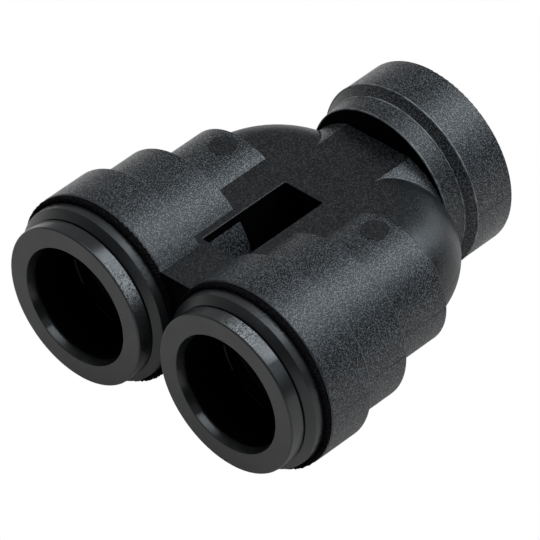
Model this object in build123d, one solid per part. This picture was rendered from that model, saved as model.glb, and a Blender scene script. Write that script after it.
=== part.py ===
from build123d import *
import os

os.makedirs("parts", exist_ok=True)

# Push-fit tubing divider: one moulded body, with two parallel ports at the
# front and one at the rear. Each port holds the same kinds of piece: a collet
# that grips the tube with small steel teeth, the cartridge that keeps the
# collet in, a spacer and an O-ring. The rear port is a shorter version, with
# its cartridge set flush in the barrel.
# Millimetres. The working frame has y = 0 at the body's front face, +Y towards
# the rear port, x = 0 midway between the front ports and z = 0 on the plane of
# the port axes. rest() moves each piece to the frame it is stored in.
# Every "depth" runs into a port from the outer face of its collet.

# Tube
TUBE_D = 15.0  # outside diameter of the tube that each port takes
TUBE_ROOM = 0.10  # radial room round the tube in sleeve and socket

# Collet
COLLET_FLANGE_WIDTH = 3.02  # of its face, from the bore to the rim
COLLET_FLANGE_THICKNESS = 2.0
COLLET_WALL = 1.0
COLLET_PRESS_GAP = 0.25  # between the flange and the cartridge at rest
COLLET_RUNNING_ROOM = 0.15  # radial, between the collet and the cartridge
COLLET_TAIL_ROOM = 0.2  # between the tail and the spacer at rest
COLLET_END_ROOM = 0.1  # between the two cones when the collet is out
COLLET_TAIL_CHAMFER = 0.35
COLLET_EDGE_ROUND = 0.25
FINGER_COUNT = 8
FINGER_SLOT_WIDTH = 1.0
FINGER_SLOT_LENGTH = 3.2

# Grip teeth, one in each finger of the collet
TOOTH_BITE = 0.08  # how far a tip stands into the tube's wall
TOOTH_ROOT_COVER = 0.6  # plastic outside the root of a tooth
TOOTH_ROOT_SETBACK = 1.6  # from the end of the tail
TOOTH_ROOT_WIDTH = 0.7
TOOTH_TIP_SETBACK = 0.35
TOOTH_TIP_WIDTH = 0.2
TOOTH_ARC_DEG = 26.0

# Cartridge
CARTRIDGE_CONE = 0.98  # radial, from the rim of its face to its ridge
CARTRIDGE_RIDGE_SETBACK = 0.75  # from the cartridge face to the ridge
CARTRIDGE_TAPER = 0.2  # radial, from the ridge to the body's mouth
CARTRIDGE_SHOULDER = 1.2  # radial, where a front cartridge rests on the mouth
CARTRIDGE_SEAT_ROOM = 0.02  # radial, in the body

# Spacer and O-ring
SPACER_THICKNESS = 0.8
SPACER_BORE_ROOM = 0.15  # radial, inside the spacer, more than in the socket
SPACER_EDGE_ROOM = 0.1
O_RING_SQUEEZE = 0.07  # radial, against the tube
O_RING_SEAT_ROOM = 0.02
O_RING_SIDE_ROOM = 0.05

# Body: the two front ports, and the three steps outside each
FRONT_PROTRUSION = 4.9  # collet face in front of the body's front face
CARTRIDGE_GAP = 0.9  # between the two front cartridges
BARREL_LIP = 0.6  # of the barrel's face that shows round a cartridge
BARREL_LENGTH = 6.65
SEAL_HOUSING_STEP = 1.3  # radial, down from the barrel
SEAL_HOUSING_LENGTH = 7.5
LEG_STEP = 2.4  # radial, down from the seal housing
LEG_LENGTH = 9.55

# Body: outside the rear port, from the hub outwards
REAR_PROTRUSION = 1.0  # collet face behind the body's rear face
REAR_BARREL_WALL = 1.05
NECK_SIDE_ROOM = 0.1  # radial, from its widest line to the ring's outer edge
NECK_CROWN = 0.87  # from a flat up to where the neck's oval would end without it
NECK_LENGTH = 6.1  # from the centre line of the crossbar to the ring
REAR_RING_STEP = 1.1  # radial, down from the barrel
REAR_RING_TAPER = 0.3  # radial, from the cone to the ring's face
REAR_RING_LENGTH = 2.65
REAR_CONE_LENGTH = 1.05
REAR_BARREL_LENGTH = 6.1

# Body: the flat hub with full-round shoulders
HUB_INSET = 1.2  # from the top line of a leg down to the flat
SHOULDER_BEND_R = 6.0  # bend of the shoulder's centre line in plan
SHOULDER_INSET = 0.4  # from the port axis in to that centre line
CROSSBAR_SETBACK = 5.0  # from the end of the legs to the crossbar's centre line

# Body: window between the front ports
WINDOW_SIDE_WALL = 0.5  # from the side of a leg
WINDOW_FRONT_WALL = 7.7  # from the body's front face
WINDOW_REAR_SETBACK = 1.85  # from the end of the legs
WINDOW_CORNER_R = 0.3
WINDOW_RIM_ROUND = 0.12

# Body: passages for the fluid
HUB_WALL = 1.5
LEG_WALL = 3.2
LEG_PASSAGE_SHIFT = 1.7  # the leg passage is widened this far inwards
REAR_PASSAGE_WALL = 1.7  # under the flats
TUBE_STOP_WIDTH = 0.6  # radial, beside the rear passage
REAR_PASSAGE_END_WALL = 1.55  # between the window and the end of the passage
PASSAGE_END_ROUND = 1.2

# Body: small features
BODY_EDGE_ROUND = 0.2
WELD_BEAD_WIDTH = 0.45
WELD_BEAD_HEIGHT = 0.8
EJECTOR_PAD_D = 3.5
EJECTOR_PAD_RISE = 0.06  # above the top line of the leg
EJECTOR_PAD_SETBACK = 2.7  # from the end of the leg

# Sizes that follow from the ones above
SOCKET_R = TUBE_D / 2 + TUBE_ROOM
TOOTH_TIP_R = TUBE_D / 2 - TOOTH_BITE
O_RING_INNER_R = TUBE_D / 2 - O_RING_SQUEEZE
SPACER_INNER_R = SOCKET_R + SPACER_BORE_ROOM
COLLET_FLANGE_R = SOCKET_R + COLLET_FLANGE_WIDTH
CARTRIDGE_RIDGE_R = COLLET_FLANGE_R + CARTRIDGE_CONE
CARTRIDGE_FLANGE_R = CARTRIDGE_RIDGE_R + CARTRIDGE_TAPER
FRONT_CARTRIDGE_R = CARTRIDGE_FLANGE_R - CARTRIDGE_SHOULDER
BARREL_R = CARTRIDGE_FLANGE_R + BARREL_LIP
REAR_CARTRIDGE_R = BARREL_R - REAR_BARREL_WALL
SEAL_HOUSING_R = BARREL_R - SEAL_HOUSING_STEP
LEG_R = SEAL_HOUSING_R - LEG_STEP
REAR_RING_OUTER_R = BARREL_R - REAR_RING_STEP
REAR_RING_INNER_R = REAR_RING_OUTER_R - REAR_RING_TAPER
HUB_HALF = LEG_R - HUB_INSET
NECK_HALF_WIDTH = REAR_RING_OUTER_R - NECK_SIDE_ROOM
NECK_HALF_HEIGHT = HUB_HALF + NECK_CROWN
PORT_X = CARTRIDGE_FLANGE_R + CARTRIDGE_GAP / 2
WINDOW_WIDTH = 2 * (PORT_X - LEG_R - WINDOW_SIDE_WALL)
LEG_PASSAGE_R = LEG_R - LEG_WALL
REAR_PASSAGE_R = HUB_HALF - REAR_PASSAGE_WALL
REAR_PASSAGE_HALF_WIDTH = SOCKET_R - TUBE_STOP_WIDTH
LEG_END_Y = BARREL_LENGTH + SEAL_HOUSING_LENGTH + LEG_LENGTH
CROSSBAR_Y = LEG_END_Y + CROSSBAR_SETBACK
SHOULDER_X = PORT_X - SHOULDER_INSET - SHOULDER_BEND_R
SHOULDER_Y = CROSSBAR_Y - SHOULDER_BEND_R
WINDOW_REAR_Y = LEG_END_Y - WINDOW_REAR_SETBACK
RING_Y = CROSSBAR_Y + NECK_LENGTH
BODY_LENGTH = RING_Y + REAR_RING_LENGTH + REAR_CONE_LENGTH + REAR_BARREL_LENGTH
OVERALL_LENGTH = FRONT_PROTRUSION + BODY_LENGTH + REAR_PROTRUSION


class Port:
    """Depths and radii inside one kind of port, in the order the tube passes them."""

    def __init__(self, protrusion, sleeve_length, cone_length, tail_length, tail_wall,
                 travel, cartridge_r, o_ring_section_r, socket_length):
        self.protrusion = protrusion
        self.cartridge_face = COLLET_FLANGE_THICKNESS + COLLET_PRESS_GAP
        self.sleeve_r = SOCKET_R + COLLET_WALL
        self.tail_r = SOCKET_R + tail_wall
        self.cone = COLLET_FLANGE_THICKNESS + sleeve_length
        self.cone_end = self.cone + cone_length
        self.tail_end = self.cone_end + tail_length
        self.bore_r = self.sleeve_r + COLLET_RUNNING_ROOM
        self.tail_bore_r = self.tail_r + COLLET_RUNNING_ROOM
        cone_slope = (self.tail_r - self.sleeve_r) / cone_length
        self.bore_cone = self.cone + COLLET_RUNNING_ROOM / cone_slope - travel - COLLET_END_ROOM
        self.bore_cone_end = self.bore_cone + cone_length
        self.cartridge_r = cartridge_r
        self.cartridge_end = self.tail_end + COLLET_TAIL_ROOM
        self.spacer_end = self.cartridge_end + SPACER_THICKNESS
        self.section_r = o_ring_section_r
        self.groove_r = O_RING_INNER_R + 2 * o_ring_section_r + O_RING_SEAT_ROOM
        self.groove_end = self.spacer_end + 2 * (o_ring_section_r + O_RING_SIDE_ROOM)
        self.stop = self.groove_end + socket_length


FRONT_PORT = Port(protrusion=FRONT_PROTRUSION, sleeve_length=3.25, cone_length=1.2,
                  tail_length=1.65, tail_wall=1.9, travel=1.7,
                  cartridge_r=FRONT_CARTRIDGE_R, o_ring_section_r=1.15, socket_length=6.8)
REAR_PORT = Port(protrusion=REAR_PROTRUSION, sleeve_length=1.6, cone_length=0.9,
                 tail_length=1.4, tail_wall=1.7, travel=1.0,
                 cartridge_r=REAR_CARTRIDGE_R, o_ring_section_r=1.0, socket_length=0.9)


def turned(corners):
    """Solid of revolution about Z from closed corners (radius, height, round)."""
    points = [(radius, height) for radius, height, _ in corners]
    rounds = [corner_round for _, _, corner_round in corners]
    with BuildPart() as piece:
        with BuildSketch(Plane.XZ):
            with BuildLine():
                FilletPolyline(*points, radius=rounds, close=True)
            make_face()
        revolve(axis=Axis.Z)
    return piece.part


def by_depth(corners):
    """Corners given as (radius, depth, round) turned into heights below a port face."""
    return [(radius, -depth, corner_round) for radius, depth, corner_round in corners]


def along_y(solid, x, y):
    """Lays a piece that stands on Z along the port axis at x, its +Z to +Y, from y."""
    return Location((x, y, 0), (-90, 0, 0)) * solid


def stadium(reach_left, reach_right, radius, length):
    """Bar along +Z with a stadium section whose round ends have the given radius."""
    centre = (reach_right - reach_left) / 2
    with BuildPart() as bar:
        with BuildSketch():
            with Locations((centre, 0)):
                SlotOverall(reach_left + reach_right, 2 * radius)
        extrude(amount=length)
    return bar.part


def hub_form(half_height):
    """Flat bar round the two shoulders, full-round at its outer edge."""
    with BuildSketch(Plane.XZ) as section:
        Rectangle(SHOULDER_BEND_R, 2 * half_height, align=(Align.MIN, Align.CENTER))
        with Locations((SHOULDER_BEND_R, 0)):
            Circle(half_height)
        Rectangle(half_height, 2 * half_height, align=(Align.MAX, Align.CENTER),
                  mode=Mode.SUBTRACT)
    shoulder = revolve(section.sketch, axis=Axis.Z, revolution_arc=90)
    right = Location((SHOULDER_X, SHOULDER_Y, 0)) * shoulder
    end_section = Location((SHOULDER_X, SHOULDER_Y, 0), (0, 0, 90)) * section.sketch
    crossbar = extrude(end_section, amount=2 * SHOULDER_X, dir=(-1, 0, 0))
    return right + crossbar + mirror(right, about=Plane.YZ)


def front_port_outside():
    """The three steps of a front port, with its foot on the body's front face."""
    seal_end = BARREL_LENGTH + SEAL_HOUSING_LENGTH
    edge = BODY_EDGE_ROUND
    return turned([
        (0, 0, 0), (BARREL_R, 0, edge), (BARREL_R, BARREL_LENGTH, edge),
        (SEAL_HOUSING_R, BARREL_LENGTH, 0), (SEAL_HOUSING_R, seal_end, edge),
        (LEG_R, seal_end, 0), (LEG_R, LEG_END_Y, edge), (0, LEG_END_Y, 0)])


def rear_port_outside():
    """Ring, cone and barrel of the rear port, from its face towards the hub."""
    cone_end = REAR_BARREL_LENGTH + REAR_CONE_LENGTH
    ring_end = cone_end + REAR_RING_LENGTH
    edge = BODY_EDGE_ROUND
    return turned([
        (0, 0, 0), (BARREL_R, 0, edge), (BARREL_R, REAR_BARREL_LENGTH, edge),
        (REAR_RING_OUTER_R, cone_end, 0), (REAR_RING_INNER_R, ring_end, edge),
        (0, ring_end, 0)])


def neck():
    """Oval neck between the hub and the rear ring, cut by the two flats."""
    length = RING_Y - SHOULDER_Y + BODY_EDGE_ROUND
    bar = extrude(Ellipse(NECK_HALF_WIDTH, NECK_HALF_HEIGHT), amount=length)
    bar &= Box(2 * NECK_HALF_WIDTH, 2 * HUB_HALF, 2 * length)
    return along_y(bar, 0, SHOULDER_Y)


def weld_bead():
    """Bead of melted plastic round a front cartridge, on the mouth of its port."""
    inner = CARTRIDGE_FLANGE_R + CARTRIDGE_SEAT_ROOM
    outer = inner + WELD_BEAD_WIDTH
    foot = -BODY_EDGE_ROUND
    return turned([
        (inner, foot, 0), (outer, foot, 0), (outer, 0, 0),
        (inner + WELD_BEAD_WIDTH / 2, WELD_BEAD_HEIGHT, 0), (inner, WELD_BEAD_HEIGHT, 0)])


def port_cavity(port):
    """What is hollow inside a port, from its mouth down to the tube stop."""
    seat = port.cartridge_r + CARTRIDGE_SEAT_ROOM
    return turned(by_depth([
        (0, 0, 0), (seat, 0, 0), (seat, port.spacer_end, 0),
        (port.groove_r, port.spacer_end, 0), (port.groove_r, port.groove_end, 0),
        (SOCKET_R, port.groove_end, 0), (SOCKET_R, port.stop, 0), (0, port.stop, 0)]))


def leg_passage(side):
    """Passage of one leg: straight from the tube stop, then domed under the shoulder."""
    start = FRONT_PORT.stop - FRONT_PROTRUSION - PASSAGE_END_ROUND
    inward = LEG_PASSAGE_R + LEG_PASSAGE_SHIFT
    reach = (inward, LEG_PASSAGE_R) if side > 0 else (LEG_PASSAGE_R, inward)
    straight = stadium(*reach, LEG_PASSAGE_R, SHOULDER_Y - start)
    beyond = along_y(stadium(*reach, LEG_PASSAGE_R, RING_Y), side * PORT_X, SHOULDER_Y)
    dome = beyond & hub_form(HUB_HALF - HUB_WALL)
    return along_y(straight, side * PORT_X, start) + dome


def rear_passage():
    """Wide passage from the rear tube stop to the legs, with a rounded blind end."""
    end_y = WINDOW_REAR_Y + REAR_PASSAGE_END_WALL
    start_y = BODY_LENGTH + REAR_PROTRUSION - REAR_PORT.groove_end
    reach = REAR_PASSAGE_HALF_WIDTH
    bar = stadium(reach, reach, REAR_PASSAGE_R, start_y - end_y)
    bar = fillet(bar.faces().sort_by(Axis.Z)[0].edges(), PASSAGE_END_ROUND)
    return along_y(bar, 0, end_y)


def window():
    """Window that goes right through between the front ports."""
    length = WINDOW_REAR_Y - WINDOW_FRONT_WALL
    with BuildPart() as opening:
        with BuildSketch():
            RectangleRounded(WINDOW_WIDTH, length, WINDOW_CORNER_R)
        extrude(amount=2 * HUB_HALF, both=True)
    return Location((0, WINDOW_FRONT_WALL + length / 2, 0)) * opening.part


def ejector_pad(side):
    """Small flat pad on the top line of a leg, left by an ejector pin."""
    pad = Cylinder(EJECTOR_PAD_D / 2, LEG_R / 2, align=(Align.CENTER, Align.CENTER, Align.MAX))
    pad_y = LEG_END_Y - EJECTOR_PAD_SETBACK
    return Location((side * PORT_X, pad_y, LEG_R + EJECTOR_PAD_RISE)) * pad


def make_body():
    """The moulded body, with everything that its cores leave hollow."""
    slab = Box(2 * PORT_X, SHOULDER_Y, 2 * HUB_HALF,
               align=(Align.CENTER, Align.MIN, Align.CENTER))
    solid = slab - window()
    flats = solid.faces().filter_by(Axis.Z)
    rims = [edge for flat in flats for rim in flat.inner_wires() for edge in rim.edges()]
    solid = fillet(rims, WINDOW_RIM_ROUND)
    for side in (-1, 1):
        solid += along_y(front_port_outside(), side * PORT_X, 0)
        solid += Location((side * PORT_X, 0, 0), (90, 0, 0)) * weld_bead()
        solid += ejector_pad(side)
    solid += hub_form(HUB_HALF)
    solid += neck()
    solid += Location((0, BODY_LENGTH, 0), (90, 0, 0)) * rear_port_outside()
    for port, port_frame in PORTS.values():
        solid -= port_frame * port_cavity(port)
    solid -= leg_passage(-1)
    solid -= leg_passage(1)
    solid -= rear_passage()
    return solid


def make_collet(port):
    """Collet: flange outside, thin sleeve, and a thick tail split into fingers."""
    edge = COLLET_EDGE_ROUND
    solid = turned(by_depth([
        (SOCKET_R, 0, edge), (COLLET_FLANGE_R, 0, edge),
        (COLLET_FLANGE_R, COLLET_FLANGE_THICKNESS, 0),
        (port.sleeve_r, COLLET_FLANGE_THICKNESS, 0), (port.sleeve_r, port.cone, 0),
        (port.tail_r, port.cone_end, 0), (port.tail_r, port.tail_end - COLLET_TAIL_CHAMFER, 0),
        (port.tail_r - COLLET_TAIL_CHAMFER, port.tail_end, 0), (SOCKET_R, port.tail_end, 0)]))
    slot = Box(2 * COLLET_FLANGE_R, FINGER_SLOT_WIDTH, 2 * FINGER_SLOT_LENGTH)
    for index in range(FINGER_COUNT // 2):
        turn = index * 360 / FINGER_COUNT
        solid -= Location((0, 0, -port.tail_end), (0, 0, turn)) * slot
    return solid - make_teeth(port)


def make_teeth(port):
    """The grip teeth, one slanting wedge set in the middle of each finger."""
    root_r = port.tail_r - TOOTH_ROOT_COVER
    root = TOOTH_ROOT_SETBACK - port.tail_end
    tip = TOOTH_TIP_SETBACK - port.tail_end
    with BuildSketch(Plane.XZ) as wedge:
        Polygon((root_r, root), (root_r, root - TOOTH_ROOT_WIDTH),
                (TOOTH_TIP_R, tip), (TOOTH_TIP_R, tip + TOOTH_TIP_WIDTH), align=None)
    tooth = revolve(wedge.sketch, axis=Axis.Z, revolution_arc=TOOTH_ARC_DEG)
    pitch = 360 / FINGER_COUNT
    first = (pitch - TOOTH_ARC_DEG) / 2
    return Compound([
        Location((0, 0, 0), (0, 0, first + index * pitch)) * tooth
        for index in range(FINGER_COUNT)])


def cartridge_inside(port):
    """Inner corners of a cartridge, from its inner end out to its face."""
    return [
        (port.tail_bore_r, port.cartridge_end, 0), (port.tail_bore_r, port.bore_cone_end, 0),
        (port.bore_r, port.bore_cone, 0), (port.bore_r, port.cartridge_face, 0)]


def make_front_cartridge(port):
    """Front cartridge: ridged flange on the body's mouth, and a barrel inside it."""
    ridge = port.cartridge_face + CARTRIDGE_RIDGE_SETBACK
    edge = COLLET_EDGE_ROUND / 2
    return turned(by_depth(cartridge_inside(port) + [
        (COLLET_FLANGE_R, port.cartridge_face, edge), (CARTRIDGE_RIDGE_R, ridge, edge),
        (CARTRIDGE_FLANGE_R, port.protrusion, 0), (port.cartridge_r, port.protrusion, 0),
        (port.cartridge_r, port.cartridge_end, 0)]))


def make_rear_cartridge(port):
    """Rear cartridge: flush in the barrel, with a lip round the collet's flange."""
    lip_r = COLLET_FLANGE_R + COLLET_RUNNING_ROOM
    return turned(by_depth(cartridge_inside(port) + [
        (lip_r, port.cartridge_face, 0), (lip_r, port.protrusion, 0),
        (port.cartridge_r, port.protrusion, 0), (port.cartridge_r, port.cartridge_end, 0)]))


def make_spacer(port):
    """Flat ring between the cartridge and the O-ring."""
    outer = port.cartridge_r - SPACER_EDGE_ROOM
    return turned(by_depth([
        (SPACER_INNER_R, port.cartridge_end, 0), (outer, port.cartridge_end, 0),
        (outer, port.spacer_end, 0), (SPACER_INNER_R, port.spacer_end, 0)]))


def make_o_ring(port):
    """O-ring against the outer wall of its groove."""
    centre_depth = (port.spacer_end + port.groove_end) / 2
    ring = Torus(O_RING_INNER_R + port.section_r, port.section_r)
    return Location((0, 0, -centre_depth)) * ring


def rest(solid):
    """From the working frame to the stored one: origin under the middle, on the floor."""
    return Location((0, FRONT_PROTRUSION - OVERALL_LENGTH / 2, BARREL_R)) * solid


# Each port with its frame: origin at the collet face, +Z straight out of the port
PORTS = {
    "left": (FRONT_PORT, Location((-PORT_X, -FRONT_PROTRUSION, 0), (90, 0, 0))),
    "right": (FRONT_PORT, Location((PORT_X, -FRONT_PROTRUSION, 0), (90, 0, 0))),
    "rear": (REAR_PORT, Location((0, BODY_LENGTH + REAR_PROTRUSION, 0), (-90, 0, 0))),
}

export_step(rest(make_body()), "parts/body.step")
for name, (port, port_frame) in PORTS.items():
    make_cartridge = make_rear_cartridge if port is REAR_PORT else make_front_cartridge
    pieces = {
        "collet": make_collet(port),
        "teeth": make_teeth(port),
        "cartridge": make_cartridge(port),
        "spacer": make_spacer(port),
        "o_ring": make_o_ring(port),
    }
    for kind, piece in pieces.items():
        export_step(rest(port_frame * piece), f"parts/{name}_{kind}.step")
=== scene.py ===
import math

import bmesh
import bpy
import numpy as np
from mathutils import Matrix, Vector


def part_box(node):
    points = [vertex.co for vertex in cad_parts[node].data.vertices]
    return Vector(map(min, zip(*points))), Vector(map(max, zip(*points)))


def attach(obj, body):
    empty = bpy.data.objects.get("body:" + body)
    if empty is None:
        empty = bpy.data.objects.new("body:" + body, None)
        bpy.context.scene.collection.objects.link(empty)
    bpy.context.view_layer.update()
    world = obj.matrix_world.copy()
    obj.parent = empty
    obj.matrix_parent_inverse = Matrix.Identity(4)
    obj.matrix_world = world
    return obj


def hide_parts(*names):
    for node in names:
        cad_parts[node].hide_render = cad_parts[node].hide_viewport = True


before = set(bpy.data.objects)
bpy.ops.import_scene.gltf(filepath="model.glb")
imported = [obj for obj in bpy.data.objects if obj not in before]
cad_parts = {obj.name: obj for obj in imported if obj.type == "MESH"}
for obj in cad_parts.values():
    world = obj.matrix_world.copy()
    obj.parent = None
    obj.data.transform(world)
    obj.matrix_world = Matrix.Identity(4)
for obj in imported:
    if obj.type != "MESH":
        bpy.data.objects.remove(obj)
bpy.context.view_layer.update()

# ---------------------------------------------------------------------------
# Moulded body: the flat hub with its three barrels, injection moulded in one
# shot from black acetal. The barrels and the neck have a spark-eroded skin; the
# flats and the round shoulders were polished in the mould.
MM = 0.001  # sizes below are in millimetres, and meshes in metres
CURVED_SKIN_ANGLE = math.radians(28)  # faces that meet at less are one curved skin
BARREL_R = 12.4
BARREL_LENGTH = 6.65
SEAL_HOUSING_R = 11.1
SEAL_HOUSING_END = 14.15
LEG_R = 8.7
LEG_END = 23.7
RING_Y = 34.8
RING_INNER_R = 11.0
CONE_Y = 37.45
RING_OUTER_R = 11.3
REAR_BARREL_Y = 38.5
BODY_LENGTH = 44.6
BODY_EDGE_ROUND = 0.2
HUB_HALF = 7.5
SHOULDER_BEND_R = 6.0
SHOULDER_INSET = 0.4
SHOULDER_Y = 22.7
NECK_HALF_WIDTH = 11.2
NECK_HALF_HEIGHT = 8.37
ON_SURFACE = 0.006  # a corner this near a surface lies on it
SAME_WAY = math.cos(math.radians(14))  # between a face and the surface it lies on
LONG_FACE = 1.2  # a face with a longer side than this is flat
WINDOW_HALF_WIDTH = 3.2
WINDOW_Y = (7.6, 22.0)
PORT_INSIDE_R = LEG_R - 0.3  # everything nearer a front port's axis is its inside
REAR_INSIDE_R = RING_INNER_R - 0.2
REAR_INSIDE_Y = RING_Y + 0.2
FLAT_INSIDE = HUB_HALF - 0.1  # and everything further from the hub's flats
AT_FACE = 0.02  # how near its plane a cored face's middle lies


def principled(name, **values):
    """A material with one Principled BSDF, whose sockets take the values given."""
    material = bpy.data.materials.new(name)
    material.use_nodes = True
    shader = material.node_tree.nodes["Principled BSDF"]
    for socket, value in values.items():
        shader.inputs[socket.replace("_", " ")].default_value = value
    return material


def node_group(name, inputs, outputs):
    """An empty shader group with float inputs {name: value} and float outputs."""
    group = bpy.data.node_groups.new(name, "ShaderNodeTree")
    for socket, value in inputs.items():
        made = group.interface.new_socket(socket, in_out="INPUT", socket_type="NodeSocketFloat")
        made.default_value = value
    for socket in outputs:
        group.interface.new_socket(socket, in_out="OUTPUT", socket_type="NodeSocketFloat")
    return group, group.nodes.new("NodeGroupInput"), group.nodes.new("NodeGroupOutput")


def wire(tree, kind, sockets=None, **settings):
    """A node of a kind, its settings made, and its input sockets set or linked."""
    node = tree.nodes.new("ShaderNode" + kind)
    for setting, value in settings.items():
        setattr(node, setting, value)
    for socket, value in (sockets or {}).items():
        if isinstance(value, bpy.types.NodeSocket):
            tree.links.new(value, node.inputs[socket])
        else:
            node.inputs[socket].default_value = value
    return node


def sum_of(tree, operation, first, second, third=0.0):
    """The output of a Math node on two or three numbers or sockets."""
    return wire(tree, "Math", {0: first, 1: second, 2: third}, operation=operation).outputs[0]


def band(tree, value, low, high, below=0.0, above=1.0):
    """A socket that goes smoothly from below to above as value goes from low to high."""
    return wire(tree, "MapRange", {
        "Value": value, "From Min": low, "From Max": high, "To Min": below, "To Max": above},
        interpolation_type="SMOOTHSTEP").outputs[0]


# Spark erosion: fine pits over coarser ones. Glint marks the glossy crests, the third output the
# crests that get painted pale as painted glints of light, and Patch is a slow mottling of the
# whole surface.
spark_skin, skin_in, skin_out = node_group(
    "spark_skin", {"Pit Scale": 5800.0, "Patch Scale": 300.0},
    ["Height", "Glint", "Painted Glint", "Patch"])
place = wire(spark_skin, "TexCoord").outputs["Object"]
pits = wire(spark_skin, "TexNoise", {
    "Vector": place, "Scale": skin_in.outputs["Pit Scale"], "Detail": 2.0,
    "Roughness": 0.6}).outputs["Fac"]
coarse_scale = sum_of(spark_skin, "MULTIPLY", skin_in.outputs["Pit Scale"], 0.43)
coarse = wire(spark_skin, "TexNoise", {
    "Vector": place, "Scale": coarse_scale, "Detail": 1.0, "Roughness": 0.5}).outputs["Fac"]
height = sum_of(spark_skin, "MULTIPLY_ADD", coarse, 0.35, pits)
spark_skin.links.new(height, skin_out.inputs["Height"])
glint = band(spark_skin, pits, 0.42, 0.68)
spark_skin.links.new(glint, skin_out.inputs["Glint"])
grain_and_glint = band(spark_skin, pits, 0.49, 0.60)
spark_skin.links.new(grain_and_glint, skin_out.inputs["Painted Glint"])
patch = wire(spark_skin, "TexNoise", {
    "Vector": place, "Scale": skin_in.outputs["Patch Scale"], "Detail": 3.0,
    "Roughness": 0.55}).outputs["Fac"]
spark_skin.links.new(patch, skin_out.inputs["Patch"])

# Dust: sparse pale specks, one in a few of the cells of a Voronoi pattern.
dust_specks, dust_in, dust_out = node_group(
    "dust_specks", {"Cell Scale": 300.0, "Speck Size": 0.030, "Share": 0.17}, ["Mask"])
place = wire(dust_specks, "TexCoord").outputs["Object"]
cells = wire(dust_specks, "TexVoronoi", {
    "Vector": place, "Scale": dust_in.outputs["Cell Scale"], "Randomness": 1.0})
near = sum_of(dust_specks, "LESS_THAN", cells.outputs["Distance"], dust_in.outputs["Speck Size"])
draw = wire(dust_specks, "SeparateColor", {"Color": cells.outputs["Color"]}).outputs["Red"]
drawn = sum_of(dust_specks, "LESS_THAN", draw, dust_in.outputs["Share"])
dust_specks.links.new(sum_of(dust_specks, "MULTIPLY", near, drawn), dust_out.inputs["Mask"])


def place_group(tree, group, values=None):
    """A node that holds a shared group, its inputs set."""
    node = tree.nodes.new("ShaderNodeGroup")
    node.node_tree = group
    for socket, value in (values or {}).items():
        node.inputs[socket].default_value = value
    return node


def mix_colour(tree, share, first, second):
    """The output of a colour Mix node; colours are linear (red, green, blue)."""
    node = wire(tree, "Mix", {0: share}, data_type="RGBA")
    for index, value in ((6, first), (7, second)):
        if isinstance(value, bpy.types.NodeSocket):
            tree.links.new(value, node.inputs[index])
        else:
            node.inputs[index].default_value = (*value, 1)
    return node.outputs[2]


BLACK_ACETAL = (0.0012, 0.0013, 0.0015)
# Painted glints: this pale crest colour stands in for the sparkle of light on the spark-eroded
# skin.
GLINT_PAINT_ACETAL = (0.088, 0.093, 0.101)
# Painted highlight: the paler colour of the body's rounded rims.
EDGE_HIGHLIGHT_PAINT = (0.045, 0.048, 0.052)
DUST = (0.16, 0.16, 0.155)
black_acetal = principled("black_acetal", Roughness=0.4, IOR=1.48, Specular_IOR_Level=0.39)
tree = black_acetal.node_tree
shader = tree.nodes["Principled BSDF"]
skin = place_group(tree, spark_skin)
dust = place_group(tree, dust_specks)
sparked = wire(tree, "Attribute", attribute_name="sparked").outputs["Fac"]
painted_edge_highlight = wire(tree, "Attribute", attribute_name="painted_edge_highlight").outputs["Fac"]
# Painted glints: pale crests, strongest on the spark-eroded skin.
glint_paint_share = sum_of(tree, "MULTIPLY_ADD", sparked, 0.68, 0.32)
painted_glints = sum_of(tree, "MULTIPLY", skin.outputs["Painted Glint"], glint_paint_share)
colour = mix_colour(tree, painted_glints, BLACK_ACETAL, GLINT_PAINT_ACETAL)
# Painted highlight: the rounds of the body's rims are painted paler.
colour = mix_colour(tree, painted_edge_highlight, colour, EDGE_HIGHLIGHT_PAINT)
colour = mix_colour(tree, dust.outputs["Mask"], colour, DUST)
tree.links.new(colour, shader.inputs["Base Color"])
polish = band(tree, skin.outputs["Patch"], 0.35, 0.65, 0.34, 0.40)
sparked_gloss = band(tree, skin.outputs["Glint"], 0.0, 1.0, 0.38, 0.18)
gloss = wire(tree, "Mix", {0: sparked, 2: polish, 3: sparked_gloss}, data_type="FLOAT").outputs[0]
gloss = wire(tree, "Mix", {0: painted_edge_highlight, 2: gloss, 3: 0.28}, data_type="FLOAT").outputs[0]
tree.links.new(gloss, shader.inputs["Roughness"])
strength = sum_of(tree, "MULTIPLY_ADD", sparked, 0.55, 0.45)
relief = sum_of(tree, "MULTIPLY", skin.outputs["Height"], strength)
bump = wire(tree, "Bump", {"Height": relief, "Strength": 1.0, "Distance": 0.048 * MM})
tree.links.new(bump.outputs["Normal"], shader.inputs["Normal"])

# The cores that leave the window and the ports' insides: a rough, unpolished finish, made near
# black with almost no reflection as painted shade of these hollows.
shade_painted_acetal = principled(
    "shade_painted_acetal", Base_Color=(0.001, 0.001, 0.0012, 1), Roughness=0.7, IOR=1.48,
    Specular_IOR_Level=0.04)
tree = shade_painted_acetal.node_tree
skin = place_group(tree, spark_skin, {"Pit Scale": 3600.0})
shader = tree.nodes["Principled BSDF"]
tree.links.new(mix_colour(
    tree, skin.outputs["Glint"], (0.0006, 0.0006, 0.0008), (0.0020, 0.0020, 0.0023)),
    shader.inputs["Base Color"])
tree.links.new(band(tree, skin.outputs["Patch"], 0.3, 0.7, 0.62, 0.8), shader.inputs["Roughness"])
bump = wire(tree, "Bump", {
    "Height": skin.outputs["Height"], "Strength": 1.0, "Distance": 0.02 * MM})
tree.links.new(bump.outputs["Normal"], shader.inputs["Normal"])


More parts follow.
